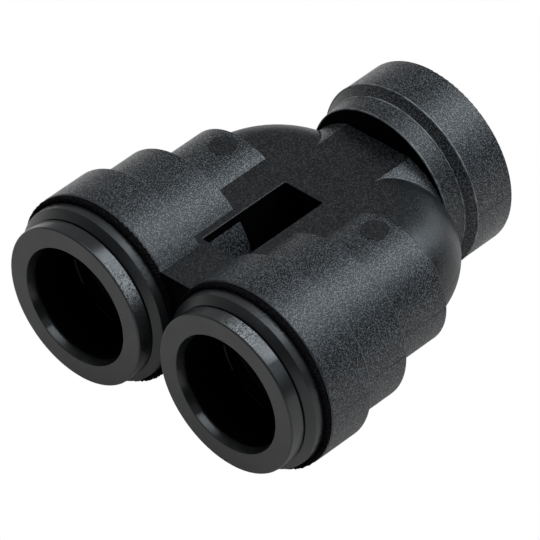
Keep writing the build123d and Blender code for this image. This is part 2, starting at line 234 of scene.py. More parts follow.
def welded_copy(node_name, name):
    """A copy of a CAD node's loose triangles, with its doubled corners merged."""
    corners = bmesh.new()
    corners.from_mesh(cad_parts[node_name].data)
    bmesh.ops.remove_doubles(corners, verts=corners.verts, dist=0.0005 * MM)
    mesh = bpy.data.meshes.new(name)
    corners.to_mesh(mesh)
    corners.free()
    mesh.shade_smooth()
    mesh.set_sharp_from_angle(angle=CURVED_SKIN_ANGLE)
    return mesh


def turned_skin(x, z, start, end):
    """Distance from, and normal of, the cone or cylinder between two (radius, y): the
    point's radius and y, less the start's, taken across the line between the two."""
    along = np.subtract(end, start) / np.linalg.norm(np.subtract(end, start))

    def skin_at(points):
        across = points - (x, 0, z)
        radius = np.hypot(across[:, 0], across[:, 2])
        distance = (radius - start[0]) * along[1] - (across[:, 1] - start[1]) * along[0]
        normal = np.stack([
            along[1] * across[:, 0] / radius, np.full_like(radius, -along[0]),
            along[1] * across[:, 2] / radius], axis=-1)
        return distance, normal
    return skin_at


def rounded_rim(x, z, radius, y, round_r):
    """Distance from, and normal of, a rim's round: a ring-shaped tube, whose distance
    is that from the middle circle of the tube, less the round's radius."""
    def rim_skin(points):
        across = points - (x, y, z)
        reach = np.hypot(across[:, 0], across[:, 2])
        from_tube = np.hypot(reach - radius, across[:, 1])
        lean = (reach - radius) / from_tube / reach
        normal = np.stack([
            lean * across[:, 0], across[:, 1] / from_tube, lean * across[:, 2]], axis=-1)
        return from_tube - round_r, normal
    return rim_skin


def shoulder_skin(points):
    """The shoulders: a tube whose middle line bends round into the crossbar. The
    distance is that from the bend's arc, less half the hub's thickness."""
    side = np.sign(points[:, 0])
    bend_x = PORT_X - SHOULDER_INSET - SHOULDER_BEND_R
    out_x = np.maximum(np.abs(points[:, 0]) - bend_x, 0)
    out_y = points[:, 1] - SHOULDER_Y
    reach = np.hypot(out_x, out_y)
    from_tube = np.hypot(reach - SHOULDER_BEND_R, points[:, 2])
    lean = (reach - SHOULDER_BEND_R) / from_tube / reach
    normal = np.stack([lean * out_x * side, lean * out_y, points[:, 2] / from_tube], axis=-1)
    return from_tube - HUB_HALF, normal


def neck_skin(points):
    """The oval neck, an elliptic cylinder along Y: x and z are divided by its half
    sizes, and the distance is half their squares' sum less one, over the slope."""
    x, z = points[:, 0] / NECK_HALF_WIDTH, points[:, 2] / NECK_HALF_HEIGHT
    slope = np.stack([x / NECK_HALF_WIDTH, 0 * x, z / NECK_HALF_HEIGHT], axis=-1)
    steepness = np.linalg.norm(slope, axis=1)
    return (x * x + z * z - 1) / 2 / steepness, slope / steepness[:, None]


collet_low, collet_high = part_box("right_collet")
body_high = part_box("body")[1]
PORT_X = (collet_low.x + collet_high.x) / 2 / MM
AXIS_Z = (collet_low.z + collet_high.z) / 2 / MM
BODY_FRONT_Y = body_high.y / MM - BODY_LENGTH
body_mesh = welded_copy("body", "moulded_body")
count = len(body_mesh.vertices)
spots = np.empty(count * 3, np.float32)
body_mesh.vertices.foreach_get("co", spots)
spots = spots.reshape(-1, 3).astype(float) / MM - (0, BODY_FRONT_Y, AXIS_Z)
corner_vertex = np.empty(len(body_mesh.loops), np.int32)
body_mesh.loops.foreach_get("vertex_index", corner_vertex)
corner_spots = spots[corner_vertex].reshape(-1, 3, 3)
sides = corner_spots - np.roll(corner_spots, 1, axis=1)
face_normals = np.cross(sides[:, 1], sides[:, 2])
face_normals /= np.maximum(np.linalg.norm(face_normals, axis=1), 1e-12)[:, None]
longest = np.linalg.norm(sides, axis=2).max(1)
normals = np.empty(len(body_mesh.loops) * 3, np.float32)
body_mesh.corner_normals.foreach_get("vector", normals)
normals = normals.reshape(-1, 3, 3).astype(float)
normals[longest > LONG_FACE] = face_normals[longest > LONG_FACE][:, None]
sparked = np.zeros(len(face_normals), bool)
edge = BODY_EDGE_ROUND
painted_edge_highlight = np.zeros(len(face_normals), bool)
turned_skins = []
for x in (-PORT_X, PORT_X):
    for radius, end in (
            (BARREL_R, BARREL_LENGTH), (SEAL_HOUSING_R, SEAL_HOUSING_END), (LEG_R, LEG_END)):
        turned_skins.append(turned_skin(x, 0, (radius, 0), (radius, end)))
        turned_skins.append(rounded_rim(x, 0, radius - edge, end - edge, edge))
        turned_skins.append(turned_skin(x, 0, (0, end), (radius, end)))
    turned_skins.append(rounded_rim(x, 0, BARREL_R - edge, edge, edge))
    turned_skins.append(turned_skin(x, 0, (0, 0), (BARREL_R, 0)))
turned_skins += [
    turned_skin(0, 0, (BARREL_R, REAR_BARREL_Y), (BARREL_R, BODY_LENGTH)),
    turned_skin(0, 0, (RING_OUTER_R, CONE_Y), (BARREL_R, REAR_BARREL_Y)),
    turned_skin(0, 0, (RING_INNER_R, RING_Y), (RING_OUTER_R, CONE_Y)),
    turned_skin(0, 0, (0, RING_Y), (RING_INNER_R, RING_Y)),
    rounded_rim(0, 0, BARREL_R - edge, BODY_LENGTH - edge, edge), neck_skin]
for skin_at in turned_skins + [shoulder_skin]:
    distance, at_corners = skin_at(corner_spots.reshape(-1, 3))
    at_corners = at_corners.reshape(-1, 3, 3)
    facing = np.einsum("fj,fcj->fc", face_normals, at_corners)
    lies_on = (np.abs(distance).reshape(-1, 3).max(1) < ON_SURFACE) & (
        np.abs(facing).min(1) > SAME_WAY)
    normals[lies_on] = (at_corners * np.sign(facing)[:, :, None])[lies_on]
    if skin_at is not shoulder_skin:
        sparked |= lies_on
    # The rims' rounds are marked for a painted highlight, a paler colour.
    painted_edge_highlight |= lies_on & (skin_at.__name__ == "rim_skin")
body_mesh.normals_split_custom_set(normals.reshape(-1, 3).tolist())
for name, mask in (("sparked", sparked & ~painted_edge_highlight), ("painted_edge_highlight", painted_edge_highlight)):
    body_mesh.attributes.new(name, "FLOAT", "FACE").data.foreach_set(
        "value", mask.astype(np.float32))
# Painted shade: the window's walls, the ports' insides, the mouths and the ring's front face get
# the near-black finish.
x, y, z = corner_spots.mean(1).T
in_window = (abs(x) < WINDOW_HALF_WIDTH) & (y > WINDOW_Y[0]) & (y < WINDOW_Y[1])
in_front_port = (y < SHOULDER_Y) & (np.hypot(abs(x) - PORT_X, z) < PORT_INSIDE_R)
in_rear_port = (y > REAR_INSIDE_Y) & (np.hypot(x, z) < REAR_INSIDE_R)
at_mouths = y < AT_FACE
at_ring = (abs(y - RING_Y) < AT_FACE) & (face_normals[:, 1] < -0.9)
deep = at_mouths | at_ring | (abs(z) < FLAT_INSIDE) & (
    in_window & ~sparked | in_front_port | in_rear_port)
body_mesh.materials.clear()
body_mesh.materials.append(black_acetal)
body_mesh.materials.append(shade_painted_acetal)
body_mesh.polygons.foreach_set("material_index", deep.astype(np.int32))
moulded_body = bpy.data.objects.new("moulded_body", body_mesh)
bpy.context.scene.collection.objects.link(moulded_body)
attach(moulded_body, "housing")
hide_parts("body")

# ---------------------------------------------------------------------------
# Collets: one in each port, moulded from black acetal. The flange is pressed
# by hand to let the tube go; the sleeve behind it ends in eight fingers, which
# the cartridge's cone squeezes onto the tube.
TUBE_D = 15.0
SOCKET_R = TUBE_D / 2 + 0.10
COLLET_FLANGE_R = SOCKET_R + 3.02
COLLET_FLANGE_THICKNESS = 2.0
COLLET_SLEEVE_R = SOCKET_R + 1.0
COLLET_TAIL_CHAMFER = 0.35
COLLET_EDGE_ROUND = 0.25
COLLET_LIP_R = 7.95
COLLET_LIP_DEPTH = 1.0
COLLET_LIP_ROUND = 0.9
COLLET_FACE_ROUND = 0.12
COLLET_BACK_ROUND = 0.1
COLLET_SHADE_DEPTH = 1.4  # the bore is painted in shade from here on
FINGER_COUNT = 8
FINGER_COLUMNS = 26
FINGER_SLOT_WIDTH = 1.0
FINGER_SLOT_LENGTH = 3.2
ARC_POINTS = 7  # along each rounded corner of a profile


class Port:
    """Where a port is, from its collet's box, and the depths of what is in it."""

    def __init__(self, name, sleeve, cone, tail, tail_wall, travel, protrusion):
        low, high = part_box(f"{name}_collet")
        self.name = name
        self.x = (low.x + high.x) / 2
        self.z = (low.z + high.z) / 2
        self.inward = -1 if name == "rear" else 1
        self.face_y = high.y if name == "rear" else low.y
        self.tail_r = SOCKET_R + tail_wall
        self.cone = COLLET_FLANGE_THICKNESS + sleeve
        self.cone_end = self.cone + cone
        self.tail_end = self.cone_end + tail
        self.travel = travel
        self.protrusion = protrusion

    def place(self, radius, turn, depth):
        """Points in metres from radius, angle and depth in mm: the axis plus the radius
        times the angle's cosine in x and its sine in z, and the depth inwards in y."""
        across = np.stack([
            self.x + radius * np.cos(turn) * MM,
            self.face_y + self.inward * depth * MM + 0 * turn,
            self.z + radius * np.sin(turn) * MM], axis=-1)
        return across.reshape(-1, 3)


FRONT_DEPTHS = dict(
    sleeve=3.25, cone=1.2, tail=1.65, tail_wall=1.9, travel=1.7, protrusion=4.9)
REAR_DEPTHS = dict(sleeve=1.6, cone=0.9, tail=1.4, tail_wall=1.7, travel=1.0, protrusion=1.0)
ports = [
    Port("left", **FRONT_DEPTHS), Port("right", **FRONT_DEPTHS), Port("rear", **REAR_DEPTHS)]


def rounded(corners):
    """Profile points (radius, depth) from closed corners (radius, depth, round).
    A rounded corner becomes an arc that touches both of its sides."""
    points = np.array([corner[:2] for corner in corners], float)
    outline = []
    for index, (_, _, corner_round) in enumerate(corners):
        here = points[index]
        if corner_round == 0:
            outline.append(here[None])
            continue
        back = points[index - 1] - here
        ahead = points[(index + 1) % len(points)] - here
        back /= np.linalg.norm(back)
        ahead /= np.linalg.norm(ahead)
        half = math.acos(np.clip(back @ ahead, -1, 1)) / 2
        middle = (back + ahead) / np.linalg.norm(back + ahead)
        centre = here + middle * corner_round / math.sin(half)
        sweep = np.linspace(half - math.pi / 2, math.pi / 2 - half, ARC_POINTS)[:, None]
        across = (back - ahead) / np.linalg.norm(back - ahead)
        outline.append(centre - corner_round * (
            middle * np.cos(sweep) + across * np.sin(sweep)))
    return np.concatenate(outline)


def outward(vertices, faces):
    """The faces, turned round if the volume that they enclose comes out negative."""
    first = vertices[[face[0] for face in faces]]
    volume = 0.0
    for step in range(1, max(len(face) for face in faces) - 1):
        fans = [face for face in faces if len(face) > step + 1]
        a = vertices[[face[0] for face in fans]]
        b = vertices[[face[step] for face in fans]]
        c = vertices[[face[step + 1] for face in fans]]
        volume += np.einsum("ij,ij->i", a - first[0], np.cross(b - first[0], c - first[0])).sum()
    return [face[::-1] for face in faces] if volume < 0 else faces


def grid_quads(rows, columns, width):
    """Quads of a grid that is stored row by row with the given width."""
    a = rows[:-1, None] * width + columns[None, :-1]
    b = rows[:-1, None] * width + columns[None, 1:]
    c = rows[1:, None] * width + columns[None, 1:]
    d = rows[1:, None] * width + columns[None, :-1]
    return np.stack([a, b, c, d], axis=-1).reshape(-1, 4).tolist()


def piece_from(name, vertices, faces, material):
    """A closed piece from vertices in metres and faces, which are made to point out.
    It's smooth-shaded but for its sharp edges, and its broad faces set the shading."""
    mesh = bpy.data.meshes.new(name)
    mesh.from_pydata(vertices.tolist(), [], outward(vertices, faces))
    mesh.validate()
    mesh.shade_smooth()
    mesh.set_sharp_from_angle(angle=CURVED_SKIN_ANGLE)
    mesh.materials.append(material)
    piece = bpy.data.objects.new(name, mesh)
    bpy.context.scene.collection.objects.link(piece)
    even = piece.modifiers.new("even_shading", "WEIGHTED_NORMAL")
    even.keep_sharp = True
    return piece


def turned_piece(name, port, profile, columns, material):
    """A ring: the closed profile carried round the port's axis."""
    turn = np.arange(columns) * 2 * math.pi / columns
    vertices = port.place(profile[:, :1], turn[None], profile[:, 1:])
    rows = np.append(np.arange(len(profile)), 0)
    faces = grid_quads(rows, np.append(np.arange(columns), 0), columns)
    return piece_from(name, vertices, faces, material)


def collet_piece(port, material):
    """A collet: the front of its profile carried right round, and the rest of it
    round each finger, whose flat sides are half a slot from the slot's middle."""
    slot_depth = port.tail_end - FINGER_SLOT_LENGTH
    front = rounded([
        (SOCKET_R, slot_depth, 0), (SOCKET_R, COLLET_LIP_DEPTH, COLLET_LIP_ROUND),
        (COLLET_LIP_R, 0, COLLET_FACE_ROUND), (COLLET_FLANGE_R, 0, COLLET_EDGE_ROUND),
        (COLLET_FLANGE_R, COLLET_FLANGE_THICKNESS, COLLET_BACK_ROUND),
        (COLLET_SLEEVE_R, COLLET_FLANGE_THICKNESS, 0), (COLLET_SLEEVE_R, slot_depth, 0)])
    tail = np.array([
        (COLLET_SLEEVE_R, port.cone), (port.tail_r, port.cone_end),
        (port.tail_r, port.tail_end - COLLET_TAIL_CHAMFER),
        (port.tail_r - COLLET_TAIL_CHAMFER, port.tail_end), (SOCKET_R, port.tail_end)])
    profile = np.concatenate([front, tail])
    radius, depth = profile[:, :1], profile[:, 1:]
    share = np.tile(np.linspace(0, 1, FINGER_COLUMNS), FINGER_COUNT)[None]
    finger = np.repeat(np.arange(FINGER_COUNT), FINGER_COLUMNS)[None]
    slot_side = np.arcsin(FINGER_SLOT_WIDTH / 2 / radius)
    pitch = 2 * math.pi / FINGER_COUNT
    turn = finger * pitch + slot_side + share * (pitch - 2 * slot_side)
    vertices = port.place(radius, turn, depth)
    width = FINGER_COUNT * FINGER_COLUMNS
    faces = grid_quads(np.arange(len(front)), np.append(np.arange(width), 0), width)
    finger_rows = np.append(np.arange(len(front) - 1, len(profile)), 0)
    for first in range(0, width, FINGER_COLUMNS):
        columns = np.arange(first, first + FINGER_COLUMNS)
        faces += grid_quads(finger_rows, columns, width)
        last, after = columns[-1], (columns[-1] + 1) % width
        rim = (len(front) - 1) * width
        faces.append([rim + last, rim + after, after, last])
        faces.append((finger_rows * width + first)[::-1].tolist())
        faces.append((finger_rows * width + last).tolist())
    return piece_from(f"{port.name}_release_collet", vertices, faces, material)


# Scratches: two noises, each drawn out along one direction and cut to thin lines.
fine_scratches, scratch_in, scratch_out = node_group(
    "fine_scratches", {"Width": 0.16}, ["Mask"])
place = wire(fine_scratches, "TexCoord").outputs["Object"]
lines = []
for turn, stretch in (
        ((0.3, 0.5, 0.4), (5200, 1500, 2600)), ((1.2, -0.4, 2.0), (4600, 1400, 3200))):
    drawn_out = wire(fine_scratches, "Mapping", {
        "Vector": place, "Rotation": turn, "Scale": stretch}).outputs[0]
    noise = wire(fine_scratches, "TexNoise", {
        "Vector": drawn_out, "Scale": 1.0, "Detail": 3.0, "Roughness": 0.6}).outputs["Fac"]
    off_middle = sum_of(fine_scratches, "SUBTRACT", noise, 0.5)
    ridge = sum_of(fine_scratches, "ABSOLUTE", off_middle, 0.0)
    width = sum_of(fine_scratches, "MULTIPLY", scratch_in.outputs["Width"], 0.4)
    lines.append(band(fine_scratches, ridge, 0.0, width, 1.0, 0.0))
fine_scratches.links.new(
    sum_of(fine_scratches, "MAXIMUM", lines[0], lines[1]), scratch_out.inputs["Mask"])


SCUFF_PALE = (0.42, 0.43, 0.44)


def handled_plastic(name, tint, face_gloss, wall_gloss):
    """A satin moulding: mottled gloss, a smoother wall, and scuffs where it's marked."""
    material = principled(name, Roughness=face_gloss, IOR=1.5, Specular_IOR_Level=0.46)
    tree = material.node_tree
    shader = tree.nodes["Principled BSDF"]
    skin = place_group(tree, spark_skin, {"Pit Scale": 2600.0, "Patch Scale": 420.0})
    dust = place_group(tree, dust_specks, {"Cell Scale": 420.0, "Share": 0.14})
    scratch = place_group(tree, fine_scratches)
    wall = wire(tree, "Attribute", attribute_name="wall").outputs["Fac"]
    scuffed = wire(tree, "Attribute", attribute_name="scuffed").outputs["Fac"]
    scuff = sum_of(tree, "MULTIPLY", scuffed, scratch.outputs["Mask"])
    colour = mix_colour(tree, skin.outputs["Patch"], tint, tuple(1.35 * v for v in tint))
    colour = mix_colour(tree, sum_of(tree, "MULTIPLY", scuff, 0.9), colour, SCUFF_PALE)
    colour = mix_colour(tree, dust.outputs["Mask"], colour, DUST)
    tree.links.new(colour, shader.inputs["Base Color"])
    satin = band(tree, skin.outputs["Patch"], 0.3, 0.7, face_gloss - 0.04, face_gloss + 0.05)
    gloss = wire(tree, "Mix", {0: wall, 2: satin, 3: wall_gloss}, data_type="FLOAT").outputs[0]
    gloss = sum_of(tree, "MULTIPLY_ADD", scuff, 0.15, gloss)
    tree.links.new(gloss, shader.inputs["Roughness"])
    scored = sum_of(tree, "MULTIPLY_ADD", scuff, -4.0, skin.outputs["Height"])
    bump = wire(tree, "Bump", {"Height": scored, "Strength": 1.0, "Distance": 0.006 * MM})
    tree.links.new(bump.outputs["Normal"], shader.inputs["Normal"])
    return material


def paint_shade_inside(piece, port, depth):
    """The finish of painted shade, near black and barely reflecting, for each face that lies
    deeper than a depth.
    """
    mesh = piece.data
    mesh.materials.append(shade_painted_acetal)
    centres = np.empty(len(mesh.polygons) * 3, np.float32)
    mesh.polygons.foreach_get("center", centres)
    deep = (centres[1::3] - port.face_y) * port.inward / MM > depth
    inside = np.hypot(centres[::3] - port.x, centres[2::3] - port.z) / MM < SOCKET_R + 0.1
    mesh.polygons.foreach_set("material_index", (deep & inside).astype(np.int32))


SCUFF_TURN = {"left": 44.0, "right": 74.0, "rear": 120.0}
SCUFF_SPREAD = 13.0


def mark_wall(piece, port, wall_r, start, end, scuffing):
    """Float attributes of a turned piece's corners: 1 on the wall that lies beyond a
    radius, and a bell curve round the angle at which that wall is scuffed."""
    mesh = piece.data
    spots = np.empty(len(mesh.vertices) * 3, np.float32)
    mesh.vertices.foreach_get("co", spots)
    spots = spots.reshape(-1, 3).astype(float) - (port.x, port.face_y, port.z)
    radius = np.hypot(spots[:, 0], spots[:, 2]) / MM
    depth = spots[:, 1] * port.inward / MM
    wall = (radius > wall_r) & (depth > start) & (depth < end)
    lip = (radius < COLLET_LIP_R) & (depth > 0.05) & (depth < 1.5)
    turn = np.degrees(np.arctan2(spots[:, 2], spots[:, 0])) - SCUFF_TURN[port.name]
    turn = (turn + 180) % 360 - 180
    scuffed = scuffing * wall * np.exp(-(turn / SCUFF_SPREAD) ** 2)
    for name, values in (("wall", wall | lip), ("scuffed", scuffed)):
        mesh.attributes.new(name, "FLOAT", "POINT").data.foreach_set(
            "value", values.astype(np.float32))


collet_plastic = handled_plastic("collet_plastic", (0.0150, 0.0150, 0.0155), 0.37, 0.24)
for port in ports:
    collet = collet_piece(port, collet_plastic)
    mark_wall(collet, port, COLLET_FLANGE_R - 0.01, 0.1, COLLET_FLANGE_THICKNESS, 1.0)
    paint_shade_inside(collet, port, COLLET_SHADE_DEPTH)
    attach(collet, f"{port.name}_grip")
    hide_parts(f"{port.name}_collet")

# ---------------------------------------------------------------------------
# Grip teeth: eight slips of stainless steel in each collet, pressed from strip
# and moulded into the fingers, so that only their tips reach the tube.
TOOTH_TIP_R = TUBE_D / 2 - 0.08
TOOTH_ROOT_COVER = 0.6
TOOTH_ROOT_SETBACK = 1.6
TOOTH_ROOT_WIDTH = 0.7
TOOTH_TIP_SETBACK = 0.35
TOOTH_TIP_WIDTH = 0.2
TOOTH_ARC = math.radians(26)
TOOTH_COLUMNS = 15


def teeth_piece(port, material):
    """Eight curved wedges: one four-sided section carried round part of a turn."""
    root_r = port.tail_r - TOOTH_ROOT_COVER
    root = port.tail_end - TOOTH_ROOT_SETBACK
    tip = port.tail_end - TOOTH_TIP_SETBACK
    profile = np.array([
        (root_r, root), (root_r, root + TOOTH_ROOT_WIDTH),
        (TOOTH_TIP_R, tip), (TOOTH_TIP_R, tip - TOOTH_TIP_WIDTH)])
    pitch = 2 * math.pi / FINGER_COUNT
    share = np.tile(np.linspace(-0.5, 0.5, TOOTH_COLUMNS), FINGER_COUNT)
    finger = np.repeat(np.arange(FINGER_COUNT), TOOTH_COLUMNS)
    turn = (finger + 0.5) * pitch + share * TOOTH_ARC
    vertices = port.place(profile[:, :1], turn[None], profile[:, 1:])
    width = FINGER_COUNT * TOOTH_COLUMNS
    rows = np.append(np.arange(len(profile)), 0)
    faces = []
    for first in range(0, width, TOOTH_COLUMNS):
        columns = np.arange(first, first + TOOTH_COLUMNS)
        faces += grid_quads(rows, columns, width)
        faces.append((rows[:-1] * width + columns[0])[::-1].tolist())
        faces.append((rows[:-1] * width + columns[-1]).tolist())
    return piece_from(f"{port.name}_grip_teeth", vertices, faces, material)


# Painted shade: the steel's colour is far darker than bare stainless steel, as the teeth lie deep
# in the bore.
shaded_tooth_steel = principled("shaded_tooth_steel", Metallic=1.0, Roughness=0.5)
tree = shaded_tooth_steel.node_tree
rolled = wire(tree, "Mapping", {
    "Vector": wire(tree, "TexCoord").outputs["Object"], "Scale": (600, 9000, 600)}).outputs[0]
grain_and_glint = wire(tree, "TexNoise", {"Vector": rolled, "Scale": 1.0, "Detail": 3.0}).outputs["Fac"]
tree.links.new(
    mix_colour(tree, grain_and_glint, (0.012, 0.012, 0.012), (0.030, 0.030, 0.030)),
    tree.nodes["Principled BSDF"].inputs["Base Color"])
tree.links.new(
    band(tree, grain_and_glint, 0.3, 0.7, 0.42, 0.58), tree.nodes["Principled BSDF"].inputs["Roughness"])
for port in ports:
    teeth = teeth_piece(port, shaded_tooth_steel)
    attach(teeth, f"{port.name}_grip")
    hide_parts(f"{port.name}_teeth")

# ---------------------------------------------------------------------------
# Cartridges: moulded rings that keep the collets in. The front two have a
# ridged flange that is spun-welded onto the body's mouth; the rear one sits
# flush in its barrel.
COLLET_RUNNING_ROOM = 0.15
COLLET_PRESS_GAP = 0.25
COLLET_TAIL_ROOM = 0.2
COLLET_END_ROOM = 0.1
CARTRIDGE_RIDGE_R = COLLET_FLANGE_R + 0.98
CARTRIDGE_RIDGE_SETBACK = 0.75
CARTRIDGE_FLANGE_R = CARTRIDGE_RIDGE_R + 0.2
CARTRIDGE_BARREL_R = {"left": 10.6, "right": 10.6, "rear": 11.35}
CARTRIDGE_COLUMNS = 240
CARTRIDGE_WALL_R = COLLET_FLANGE_R + 0.3  # beyond it lies the handled part
CARTRIDGE_SCUFFING = 0.12  # beside a collet's


def cartridge_piece(port, material):
    """A cartridge: its bore's cone and its outside as one closed profile."""
    face = COLLET_FLANGE_THICKNESS + COLLET_PRESS_GAP
    bore_r = COLLET_SLEEVE_R + COLLET_RUNNING_ROOM
    tail_r = port.tail_r + COLLET_RUNNING_ROOM
    cone_length = port.cone_end - port.cone
    slope = (port.tail_r - COLLET_SLEEVE_R) / cone_length
    cone = port.cone + COLLET_RUNNING_ROOM / slope - port.travel - COLLET_END_ROOM
    end = port.tail_end + COLLET_TAIL_ROOM
    barrel_r = CARTRIDGE_BARREL_R[port.name]
    corners = [
        (tail_r, end, 0), (tail_r, cone + cone_length, 0), (bore_r, cone, 0),
        (bore_r, face, 0)]
    if port.name == "rear":
        lip_r = COLLET_FLANGE_R + COLLET_RUNNING_ROOM
        corners += [(lip_r, face, 0), (lip_r, port.protrusion, 0.1),
                    (barrel_r, port.protrusion, 0.1), (barrel_r, end, 0)]
    else:
        corners += [
            (COLLET_FLANGE_R, face, 0.12),
            (CARTRIDGE_RIDGE_R, face + CARTRIDGE_RIDGE_SETBACK, 0.15),
            (CARTRIDGE_FLANGE_R, port.protrusion, 0.0), (barrel_r, port.protrusion, 0),
            (barrel_r, end, 0)]
    return turned_piece(
        f"{port.name}_cartridge_ring", port, rounded(corners), CARTRIDGE_COLUMNS, material)


cartridge_plastic = handled_plastic("cartridge_plastic", (0.0145, 0.0148, 0.0155), 0.36, 0.30)
for port in ports:
    cartridge = cartridge_piece(port, cartridge_plastic)
    mark_wall(
        cartridge, port, CARTRIDGE_WALL_R, 0.0, port.protrusion + 0.01, CARTRIDGE_SCUFFING)
    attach(cartridge, "housing")
    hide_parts(f"{port.name}_cartridge")

# ---------------------------------------------------------------------------
# Weld beads: plastic that melted out between each front cartridge and the mouth of the body as
# they were spun together, and set there as a dull, lumpy ring. Its near-black colour and weak
# reflection are painted shade of the gap it lies in.
BEAD_R = 12.03
BEAD_HALF_WIDTH = 0.29
BEAD_DEPTH = 4.5
BEAD_HALF_DEPTH = 0.44
BEAD_COLUMNS = 900
BEAD_ROWS = 20


def bead_piece(port, material, seed):
    """A ring of oval section, whose size wanders: the sum of many small sine waves
    round the ring and across it, with random lengths and starts, moves each point."""
    random = np.random.default_rng(seed)
    turn = np.arange(BEAD_COLUMNS)[None] * 2 * math.pi / BEAD_COLUMNS
    across = np.arange(BEAD_ROWS)[:, None] * 2 * math.pi / BEAD_ROWS
    lump = np.zeros((BEAD_ROWS, BEAD_COLUMNS))
    for waves in random.integers(20, 230, 48):
        twist, start = random.integers(-4, 5), random.uniform(0, 7)
        height = random.uniform(0.5, 1)
        lump += height * np.sin(waves * turn + twist * across + start)
    lump *= 0.16 / lump.std()
    radius = BEAD_R + BEAD_HALF_WIDTH * (1 + lump) * np.cos(across)
    depth = BEAD_DEPTH + BEAD_HALF_DEPTH * (1 + 0.7 * lump) * np.sin(across)
    vertices = port.place(np.minimum(radius, BARREL_R), turn, depth)
    faces = grid_quads(
        np.append(np.arange(BEAD_ROWS), 0), np.append(np.arange(BEAD_COLUMNS), 0), BEAD_COLUMNS)
    return piece_from(f"{port.name}_weld_bead", vertices, faces, material)


shaded_weld_acetal = principled(
    "shaded_weld_acetal", Base_Color=(0.002, 0.002, 0.002, 1), Roughness=0.8, Specular_IOR_Level=0.05)
tree = shaded_weld_acetal.node_tree
shader = tree.nodes["Principled BSDF"]
skin = place_group(tree, spark_skin, {"Pit Scale": 2400.0, "Patch Scale": 900.0})
# Painted shade: the bead's colour is kept near black; the faint brown-purple mottling is its own.
tree.links.new(mix_colour(
    tree, skin.outputs["Patch"], (0.0008, 0.0008, 0.0010), (0.0045, 0.0030, 0.0042)),
    shader.inputs["Base Color"])
tree.links.new(band(tree, skin.outputs["Glint"], 0, 1, 0.9, 0.6), shader.inputs["Roughness"])
bump = wire(tree, "Bump", {
    "Height": skin.outputs["Height"], "Strength": 1.0, "Distance": 0.05 * MM})
tree.links.new(bump.outputs["Normal"], shader.inputs["Normal"])
for seed, port in enumerate(ports[:2]):
    bead = bead_piece(port, shaded_weld_acetal, seed + 3)
    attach(bead, "housing")

# ---------------------------------------------------------------------------
# Edge rings: the rear barrel's three sharp edges, rounded a little and painted paler along each
# edge as a painted highlight. They are part of the moulding, and each is a thin ring set into it.
EDGE_RING_ROUND = 0.13
EDGE_RING_SECTION_POINTS = 16
EDGE_RING_COLUMNS = 240
REAR_LENGTH = BODY_LENGTH + ports[2].protrusion
EDGE_RINGS = {  # name: radius and y of the ring's middle
    "ring_front_edge": (RING_INNER_R - 0.075, RING_Y + 0.075),
    "ring_rear_edge": (RING_OUTER_R - 0.06, CONE_Y - 0.05),
    "rear_barrel_edge": (BARREL_R - 0.085, REAR_BARREL_Y + 0.02)}
edge_highlight_acetal = principled("edge_highlight_acetal", Roughness=0.3, IOR=1.48)
tree = edge_highlight_acetal.node_tree
skin = place_group(tree, spark_skin, {"Pit Scale": 3200.0, "Patch Scale": 700.0})
shader = tree.nodes["Principled BSDF"]
highlight_mottle = band(tree, skin.outputs["Patch"], 0.35, 0.65)
# Painted highlight: the pale colour of these edge rings.
tree.links.new(
    mix_colour(tree, highlight_mottle, (0.05, 0.053, 0.056), (0.17, 0.175, 0.18)),
    shader.inputs["Base Color"])
tree.links.new(band(tree, skin.outputs["Glint"], 0, 1, 0.34, 0.24), shader.inputs["Roughness"])
for name, (radius, y) in EDGE_RINGS.items():
    around = np.arange(EDGE_RING_SECTION_POINTS) * 2 * math.pi / EDGE_RING_SECTION_POINTS
    outline = np.stack([
        radius + EDGE_RING_ROUND * np.cos(around),
        REAR_LENGTH - y + EDGE_RING_ROUND * np.sin(around)], axis=-1)
    edge_ring = turned_piece(name, ports[2], outline, EDGE_RING_COLUMNS, edge_highlight_acetal)
    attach(edge_ring, "housing")

# ---------------------------------------------------------------------------
# Parting line: the thin flash that the mould's two halves left at mid-height,
# along both flanks of the body. It is the same black acetal as the body.
SEAM_HALF_WIDTH = 0.05
SEAM_HEIGHT = 0.02
SEAM_POINTS = 48
SEAM_BEND = math.radians(66)  # how far it follows a shoulder round


